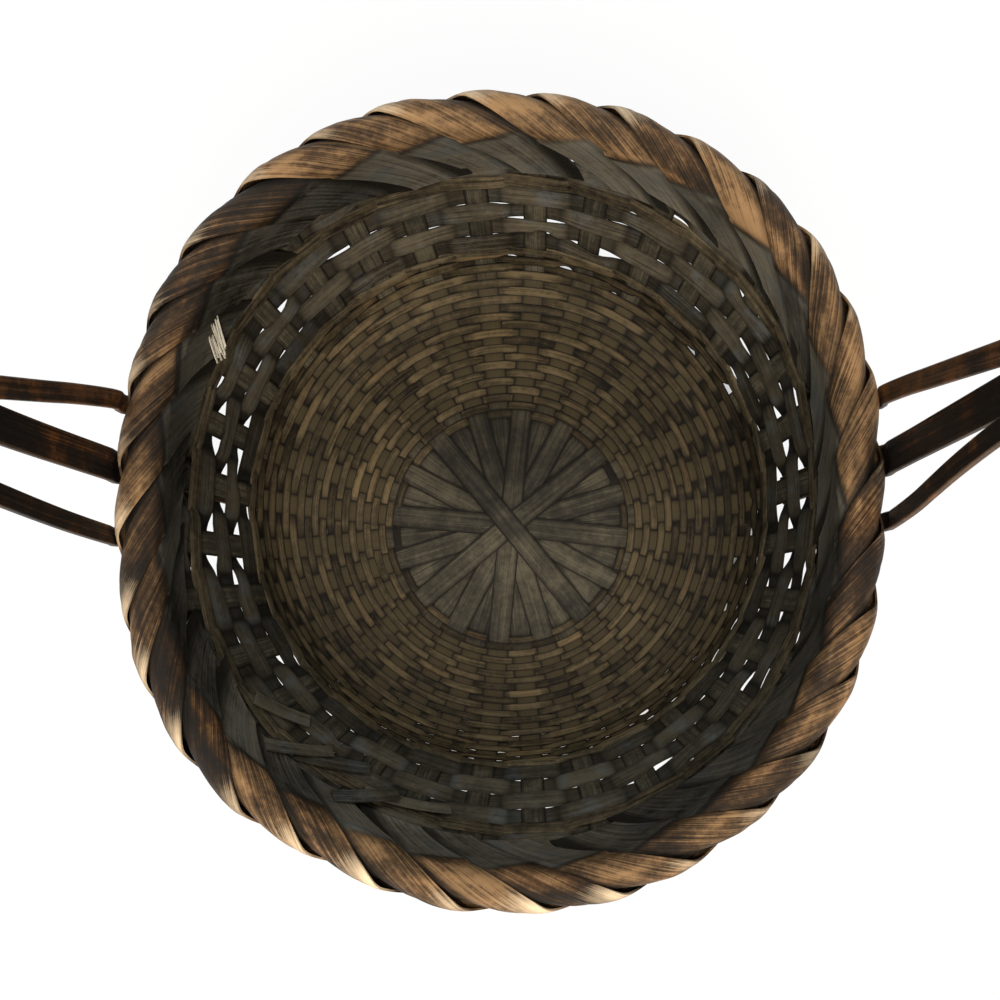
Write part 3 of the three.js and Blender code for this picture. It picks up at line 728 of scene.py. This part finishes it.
def rim_lobe(index):
    """One stake end rolled over the rim from the outside, drawn down inside and cut off."""
    plump = chance.uniform(-0.3, 0.3)
    slip = chance.uniform(-0.08, 0.08) - 0.6
    aim = math.pi * (index + 0.5) / ROPE_TURNS
    # Painted light by side: the rolls' light patches are strongest at the front, weaker at the back and
    # left, and weakest at the right
    painted_side_light = 0.8 - 0.45 * math.cos(aim) ** 2 - 0.16 * math.sin(aim) + 0.25 * max(-math.cos(aim), 0)
    gold = chance.uniform(0.6, 1.2) * painted_side_light
    seam_slip = chance.uniform(-0.02, 0.015)
    drop = chance.uniform(19.0, 25.0)
    swing = STAKE_PITCH * chance.uniform(0.7, 1.0)
    end_wide = chance.uniform(0.86, 1.08)
    end_cut = chance.uniform(-0.1, 0.35)
    folds = [(chance.uniform(0.15, 0.95), chance.uniform(0.04, 0.1), chance.uniform(-0.3, 0.22))
             for _ in range(5)]
    painted_seam_shade = patches.uniform(0.5, 0.85)

    def lay(length_part, width_part):
        turn = roll_turn(length_part)
        fall = np.clip((length_part - ROLLED_PART) / (1 - ROLLED_PART), 0, 1)
        fall = fall * (1 + end_cut * (0.5 - width_part) * fall)
        hanging = np.clip(fall, 0, 1)
        outer = np.exp(-((turn - math.radians(-6)) / math.radians(58)) ** 2)
        low_edge = -ROLL_LOW + 0.1 * outer + (ROLL_LOW - end_wide / 2) * hanging
        high_edge = ROLL_HIGH - 0.36 * outer - (ROLL_HIGH - end_wide / 2) * hanging
        phase = math.pi * (index + slip + low_edge + (high_edge - low_edge) * width_part)
        angle = (phase - ROPE_LAY * turn) / ROPE_TURNS - swing * fall
        radius = ROLL_RADIUS + plump + ROLL_SWELL * outer
        radius = radius - ROLL_TUCK * (1 - width_part) ** 2.2 - ROLL_LIP * width_part ** 9
        for place, narrow, size in folds:
            radius = radius + size * np.exp(-((width_part - place) / narrow) ** 2)
        roll = on_rope(angle, turn, radius)
        wall = on_bowl(angle, way_at_height(angle, RIM_HEIGHT + TAIL_START - drop * fall), 0.0)
        inward = ROPE_RADIUS - 1.5 - 2.2 * (1 - width_part) ** 2 * (1 - fall)
        off_wall = TAIL_GAP + TAIL_LEAN * width_part + inward * (1 - hanging) ** 1.3
        tail = round_point(angle, np.hypot(wall[:, 0], wall[:, 1]) - off_wall, wall[:, 2])
        return np.where((length_part > ROLLED_PART)[:, None], tail, roll)

    def past_seam(length_part, width_part):
        """Way past the line along which the roll ends and the cut tail begins, as a part of the length."""
        return length_part - ROLLED_PART - 0.01 - seam_slip + 0.075 * (1 - width_part)

    def wear_and_painted_light(length_part, width_part):
        turn = np.degrees(roll_turn(length_part))
        # Lighter over the top and outside of the roll as wear, with a painted highlight along the raised
        # lip
        outside = np.exp(-((turn - 40) / 46) ** 2)
        lip = np.exp(-((width_part - 0.95) / 0.09) ** 2) * np.exp(-((turn - 40) / 55) ** 2)
        body = np.clip(width_part * 1.8 - 0.5, 0, 1)
        return gold * (0.5 * outside * body + 0.34 * lip)

    def painted_shade_and_dirt(length_part, width_part):
        turn = np.degrees(roll_turn(length_part))
        # Painted shade: under the next roll's lip, in the seam where the roll turns down, on the inner side
        # at the left and right, and below the rope
        tucked = 1.3 * np.clip(1 - width_part / 0.42, 0, 1) ** 0.7
        inside = painted_seam_shade * np.exp(-(past_seam(length_part, width_part) / 0.018) ** 2)
        inside = inside + 0.32 * math.cos(aim) ** 2 * np.clip((turn - 110) / 40, 0, 1)
        below = 0.8 * np.clip((-25 - turn) / 40, 0, 1)
        return np.maximum(tucked, np.maximum(inside, below))

    def aged(length_part, width_part):
        return np.clip(past_seam(length_part, width_part) / 0.04 + 0.5, 0, 1)

    # Painted shade: darker at the left and right, with a tone that differs at random
    tone = 0.5 - 0.4 * abs(math.cos(aim)) + chance.uniform(-0.45, 0.45)
    return lay_splint(lay, ROLL_LONG, ROLL_WIDE, 80, 18, ROLL_THICK, tone=tone, wear_and_painted_light=wear_and_painted_light, painted_shade_and_dirt=painted_shade_and_dirt,
                      aged=aged)


def rim_painted_shade_core():
    """Near-black filling seen between the rolls, which stands for the shade there."""
    def lay(length_part, width_part):
        return on_rope(2 * math.pi * length_part, -2 * math.pi * width_part, CORE_RADIUS)

    return join([lay_splint(lay, CORE_LONG, CORE_ROUND, 192, 16, CORE_THICK, ring=True)], "rim_painted_shade_core")


# Bail handle: legs tucked into the wall, bent out round the rope, drawn together and arched over
def leg_end(name, side):
    """Stake, lean and gathering way of a leg, at the right for side 1 and at the left for side -1."""
    return LEGS[name][0 if side > 0 else 1]


def leg_foot(name, side):
    """Where a leg stands clear of the rope, with its outward direction."""
    stake, lean, _ = leg_end(name, side)
    angle = STAKE_PITCH * (stake + 0.5) + side * lean / RIM_RADIUS
    rope_edge = RIM_RADIUS - RIM_PINCH * abs(math.cos(angle)) ** 6 + ROPE_RADIUS
    out = np.array([math.cos(angle), math.sin(angle), 0.0])
    return (rope_edge + LEG_GAP + LEG_THICK / 2) * out + np.array([0, 0, RIM_HEIGHT]), out


GRIP_FOOT, _ = leg_foot("middle", 1)
ARCH_RADIUS = GRIP_FOOT[0]


def leg_drift(name, side, way):
    """Place of a leg across the handle, at a way up from the rope: drawn straight into the bundle."""
    foot, _ = leg_foot(name, side)
    gather = leg_end(name, side)[2]
    return foot[1] + (GRIP_FOOT[1] + LEG_SHIFT[name] - foot[1]) * min(way / gather, 1)


def leg_way(name, side):
    """Points and outward directions of one leg, from its tucked end to below the spring of the arch."""
    angle = STAKE_PITCH * (leg_end(name, side)[0] + 0.5)
    out = np.array([math.cos(angle), math.sin(angle), 0.0])
    points, faces = [], []
    for height in LEG_TUCK_HEIGHTS:
        at = np.array([angle])
        points.append(on_bowl(at, way_at_height(at, height), -LEG_TUCK)[0])
        faces.append(out)
    foot, foot_out = leg_foot(name, side)
    for height in (-ROPE_RADIUS / 2, ROPE_RADIUS / 2):
        points.append(foot + np.array([0, 0, height]))
        faces.append(foot_out)
    for step in range(1, 8):
        part = step / 8
        inward = min(part / 0.5, 1)
        inward = inward * inward * (3 - 2 * inward)
        x = foot[0] + (side * (ARCH_RADIUS + LEG_DEPTH[name]) - foot[0]) * inward
        x += min(side, 0) * LEFT_BOW * math.sin(math.pi * part)
        height = RIM_HEIGHT + ROPE_RADIUS + LEG_RISE * part
        points.append(np.array([x, leg_drift(name, side, LEG_RISE * part), height]))
        faces.append(np.array([side, 0.0, 0.0]))
    return points, faces


def arch_point(name, angle):
    """Point of the arch at an angle from the right, with its outward direction."""
    face = np.array([math.cos(angle), 0.0, math.sin(angle)])
    side = 1 if angle < math.pi / 2 else -1
    way = LEG_RISE + ARCH_RADIUS * min(angle, math.pi - angle)
    point = np.array([0.0, leg_drift(name, side, way), SPRING]) + face * (ARCH_RADIUS + LEG_DEPTH[name])
    return point, face


def run_along(points):
    """Way along a row of points to each of them."""
    return np.concatenate([[0], np.cumsum(np.linalg.norm(np.diff(points, axis=0), axis=1))])


def columns_at(places, marks, rows):
    """Rows of numbers read between their marks, column by column."""
    return np.stack([np.interp(places, marks, rows[:, i]) for i in range(3)], -1)


def smooth_way(points, steps):
    """Evenly spaced points on a curve through the given ones, and its length."""
    ends = np.vstack([2 * points[0] - points[1], points, 2 * points[-1] - points[-2]])
    curve = []
    for i in range(1, len(ends) - 2):
        a, b, c, d = ends[i - 1:i + 3]
        for t in np.linspace(0, 1, 12, endpoint=False):
            bend = (2 * a - 5 * b + 4 * c - d) * t * t + (3 * b - a - 3 * c + d) * t ** 3
            curve.append(0.5 * (2 * b + (c - a) * t + bend))
    curve = np.array(curve + [points[-1]])
    run = run_along(curve)
    return columns_at(np.linspace(0, run[-1], steps + 1), run, curve), run[-1]


def handle_splint(name):
    """One splint of the handle, from its right foot over the arch to its left foot."""
    points, faces = leg_way(name, 1)
    for step in range(25):
        point, face = arch_point(name, math.pi * step / 24)
        points.append(point)
        faces.append(face)
    left_points, left_faces = leg_way(name, -1)
    points = np.array(points + left_points[::-1])
    faces = np.array(faces + left_faces[::-1])
    way, long = smooth_way(points, LEG_STEPS)
    run = run_along(points)
    marks = np.arange(len(points))
    at = np.interp(np.linspace(0, run[-1], LEG_STEPS + 1), run, marks)
    forward = np.gradient(way, axis=0)
    forward /= np.linalg.norm(forward, axis=1, keepdims=True)
    across = np.cross(forward, columns_at(at, marks, faces))
    across /= np.linalg.norm(across, axis=1, keepdims=True)
    outward = np.cross(across, forward)
    wide = LEG_WIDTHS[name]

    def lay(length_part, width_part):
        i = np.round(length_part * LEG_STEPS).astype(int)
        side = (width_part - 0.5)[:, None] * wide
        crown = LEG_CROWN * (1 - edge(width_part, 2))[:, None]
        return way[i] + across[i] * side + outward[i] * crown

    def wear_and_painted_light(length_part, width_part):
        # Lighter along the edges: wear, and a painted highlight
        return 0.3 * edge(width_part, 8)

    strip = lay_splint(lay, long, wide, LEG_STEPS, 6, LEG_THICK - LEG_SHAVED, tone=LEG_TONES[name],
                       wear_and_painted_light=wear_and_painted_light)
    finish_with(strip, "BEVEL", width=LEG_BEVEL * MM, segments=2, limit_method="ANGLE",
                angle_limit=math.radians(50))
    return join([strip], f"handle_leg_{name}")


def grip_binding():
    """Flat splint wound round the three handle splints at the crown."""
    top = LEG_THICK / 2 + GRIP_OVER
    bottom = -1.5 * LEG_THICK - GRIP_UNDER
    ring = np.array([(bottom, 0.0), (bottom, -GRIP_SIDE), (GRIP_SLOPE, -GRIP_SIDE), (top, -GRIP_SHOULDER),
                     (top, GRIP_SHOULDER), (GRIP_SLOPE, GRIP_SIDE), (bottom, GRIP_SIDE), (bottom, 0.0)])
    run = run_along(ring)
    pitch = GRIP_PITCH / ARCH_RADIUS
    start = math.pi / 2 - pitch * GRIP_LOOPS / 2

    def lay(length_part, width_part):
        turn = length_part * GRIP_LOOPS
        at = (turn % 1) * run[-1]
        at = np.where((length_part > 0) & (turn % 1 == 0), run[-1], at)
        depth, shift = np.interp(at, run, ring[:, 0]), np.interp(at, run, ring[:, 1])
        angle = start + pitch * turn + (width_part - 0.5) * GRIP_WIDTH / ARCH_RADIUS
        swell = GRIP_SWELL * (1 - edge(width_part, 2)) * np.sign(depth - GRIP_MIDDLE)
        reach = ARCH_RADIUS + depth + swell
        return np.stack([reach * np.cos(angle), GRIP_FOOT[1] + shift, SPRING + reach * np.sin(angle)], -1)

    strip = lay_splint(lay, GRIP_LOOPS * run[-1], GRIP_WIDTH, GRIP_LOOPS * 24, 3, GRIP_THICK)
    return join([strip], "wound_grip")


# Mending splints and frayed fibres inside the wall
def inner_strip(angle, height, heading, long, wide, lift, curl, thick):
    """A loose strip on the inside of the wall, in degrees and millimetres."""
    start, slope = math.radians(angle), math.radians(heading)

    def lay(length_part, width_part):
        ahead = (length_part - 0.5) * long
        across = (width_part - 0.5) * wide
        bend = curl * ahead ** 2 / long
        at = start + (ahead * math.cos(slope) - across * math.sin(slope)) / WALL_RADIUS
        level = height + ahead * math.sin(slope) + across * math.cos(slope) + bend
        return on_bowl(at, way_at_height(at, level), lift + 0.2 * bend)

    return lay_splint(lay, long, wide, 16, 2, thick)


def mended_place():
    """Five flat splints laid over a broken place."""
    return join([inner_strip(*place, 0.0, MENDING_THICK) for place in MENDING], "mending_splints")


def frayed_fibres():
    """Pale fibres split off below the rim."""
    strips = []
    for _ in range(FRAY_COUNT):
        angle = chance.gauss(149.8, 0.75)
        height = chance.uniform(67.5, 70)
        heading = chance.gauss(122, 2.5)
        long = chance.uniform(11, 17)
        wide = chance.uniform(0.35, 0.7)
        lift = chance.uniform(3.2, 4.2)
        curl = chance.uniform(-0.1, 0.1)
        strips.append(inner_strip(angle, height, heading, long, wide, lift, curl, FRAY_THICK))
    return join(strips, "frayed_fibres")


# The basket put together
for index in range(SPLINTS):
    dress(star_splint(index), stake_finish, "dark_splint", f"splint_{index + 1:02d}")
floor_rows = CLOSE_ROWS // 2
dress(join([close_row(row) for row in range(floor_rows)], "floor_weaving"), weaver_finish, "weaver_splint",
      "base_weaving")
dress(join([close_row(row) for row in range(floor_rows, CLOSE_ROWS)], "corner_weaving_rows"), weaver_finish,
      "weaver_splint", "corner_weaving")
dress(twined_pair(0, "foot_pair"), strand_finish, "strand_splint", "lower_strand")
for row in range(1, WIDE_ROWS + 1):
    dress(wide_row(row, f"wall_row_{row}"), wide_finish, "weaver_splint", f"wide_weaver_{row}")
dress(twined_pair(5, "upper_pair_1"), strand_finish, "strand_splint", "upper_strand_1")
dress(twined_pair(6, "upper_pair_2"), strand_finish, "strand_splint", "upper_strand_2")
dress(wide_row(7, "wall_row_top"), wide_finish, "weaver_splint", "top_weaver")
lobes = [rim_lobe(index) for index in range(STAKES)]
dress(join(lobes[0::2], "rim_roll_1"), rim_finish, "rim_splint", "rim_strand_1", "rim_tails")
dress(join(lobes[1::2], "rim_roll_2"), rim_finish, "rim_splint", "rim_strand_2")
dress(rim_painted_shade_core(), painted_shade_core_finish, "rim_splint")
for name in LEGS:
    dress(handle_splint(name), handle_finish, "handle_splint", f"handle_splint_{name}")
dress(grip_binding(), binding_finish, "binding_splint", "grip_binding")
dress(mended_place(), wide_finish, "weaver_splint")
dress(frayed_fibres(), pale_finish, "strand_splint")

# Studio, in metres
PAPER_SIZE = 8
UNDER_BASKET = (0.1, 0.114)
FAR_PAPER = (0.35, 1.2)
NEAR_WHITE = 0.88
SKY_LIGHT = 0.16
LAMP_AIM = Vector((0, 0, 0.05))

bpy.ops.object.select_all(action="DESELECT")
bpy.ops.mesh.primitive_plane_add(size=PAPER_SIZE)
floor = bpy.context.object
floor.name = "studio_floor"
paper = Finish(bpy.data.materials.new("white_paper"))
paper_surface = paper.tree.nodes["Principled BSDF"]
paper_surface.inputs["Base Color"].default_value = (0.86, 0.86, 0.86, 1)
paper_surface.inputs["Roughness"].default_value = 0.9
place = paper.add("ShaderNodeTexCoord").outputs["Object"]
away = paper.add("ShaderNodeVectorMath", {0: place, 1: (0.0, FLOOR_SHIFT * MM, 0.0)}, operation="DISTANCE")
clear = paper.spread(away.outputs["Value"], *UNDER_BASKET, last=NEAR_WHITE)
far = paper.spread(away.outputs["Value"], *FAR_PAPER, last=1 - NEAR_WHITE)
shown = paper.work("MULTIPLY", paper.seen(), paper.work("ADD", clear, far))
glow = paper.add("ShaderNodeEmission", {"Color": (1, 1, 1, 1), "Strength": 1.0})
mixed = paper.add("ShaderNodeMixShader", {0: shown, 1: paper_surface.outputs[0], 2: glow.outputs[0]})
paper.put(paper.tree.nodes["Material Output"].inputs["Surface"], mixed.outputs[0])
floor.data.materials.append(paper.owner)

sky = Finish(bpy.data.worlds.new("studio"))
background = sky.tree.nodes["Background"].inputs
background["Color"].default_value = (1, 1, 1, 1)
sky.put(background["Strength"], sky.spread(sky.seen(), 0.0, 1.0, SKY_LIGHT, 1.0))
bpy.context.scene.world = sky.owner


def lamp(name, place, size, power, colour):
    bpy.ops.object.light_add(type="AREA", location=place)
    made = bpy.context.object
    made.name = name
    made.data.shape = "SQUARE"
    made.data.size = size
    made.data.energy = power
    made.data.color = colour
    made.rotation_euler = (made.location - LAMP_AIM).to_track_quat("Z", "Y").to_euler()


lamp("top_light", (0.0, -0.08, 1.5), 0.12, 8.6, (1.0, 0.95, 0.86))
lamp("key_light", (0.05, -0.95, 1.1), 0.6, 22, (1.0, 0.93, 0.82))
lamp("fill_light", (-0.9, 0.1, 1.0), 1.0, 2, (0.75, 0.92, 1.0))
lamp("back_light", (0.1, 1.0, 1.0), 0.9, 7, (0.88, 0.97, 1.0))

bpy.ops.object.camera_add(location=(0.01793, -0.0489, 0.41485), rotation=(0.0276, 0.0105, 0.0002))
camera = bpy.context.object
camera.data.lens = 34.95
camera.data.sensor_width = 36
camera.data.shift_x = -0.042
camera.data.shift_y = 0.1145
camera.data.clip_start = 0.01
bpy.context.scene.camera = camera
bpy.context.scene.view_settings.view_transform = "Standard"
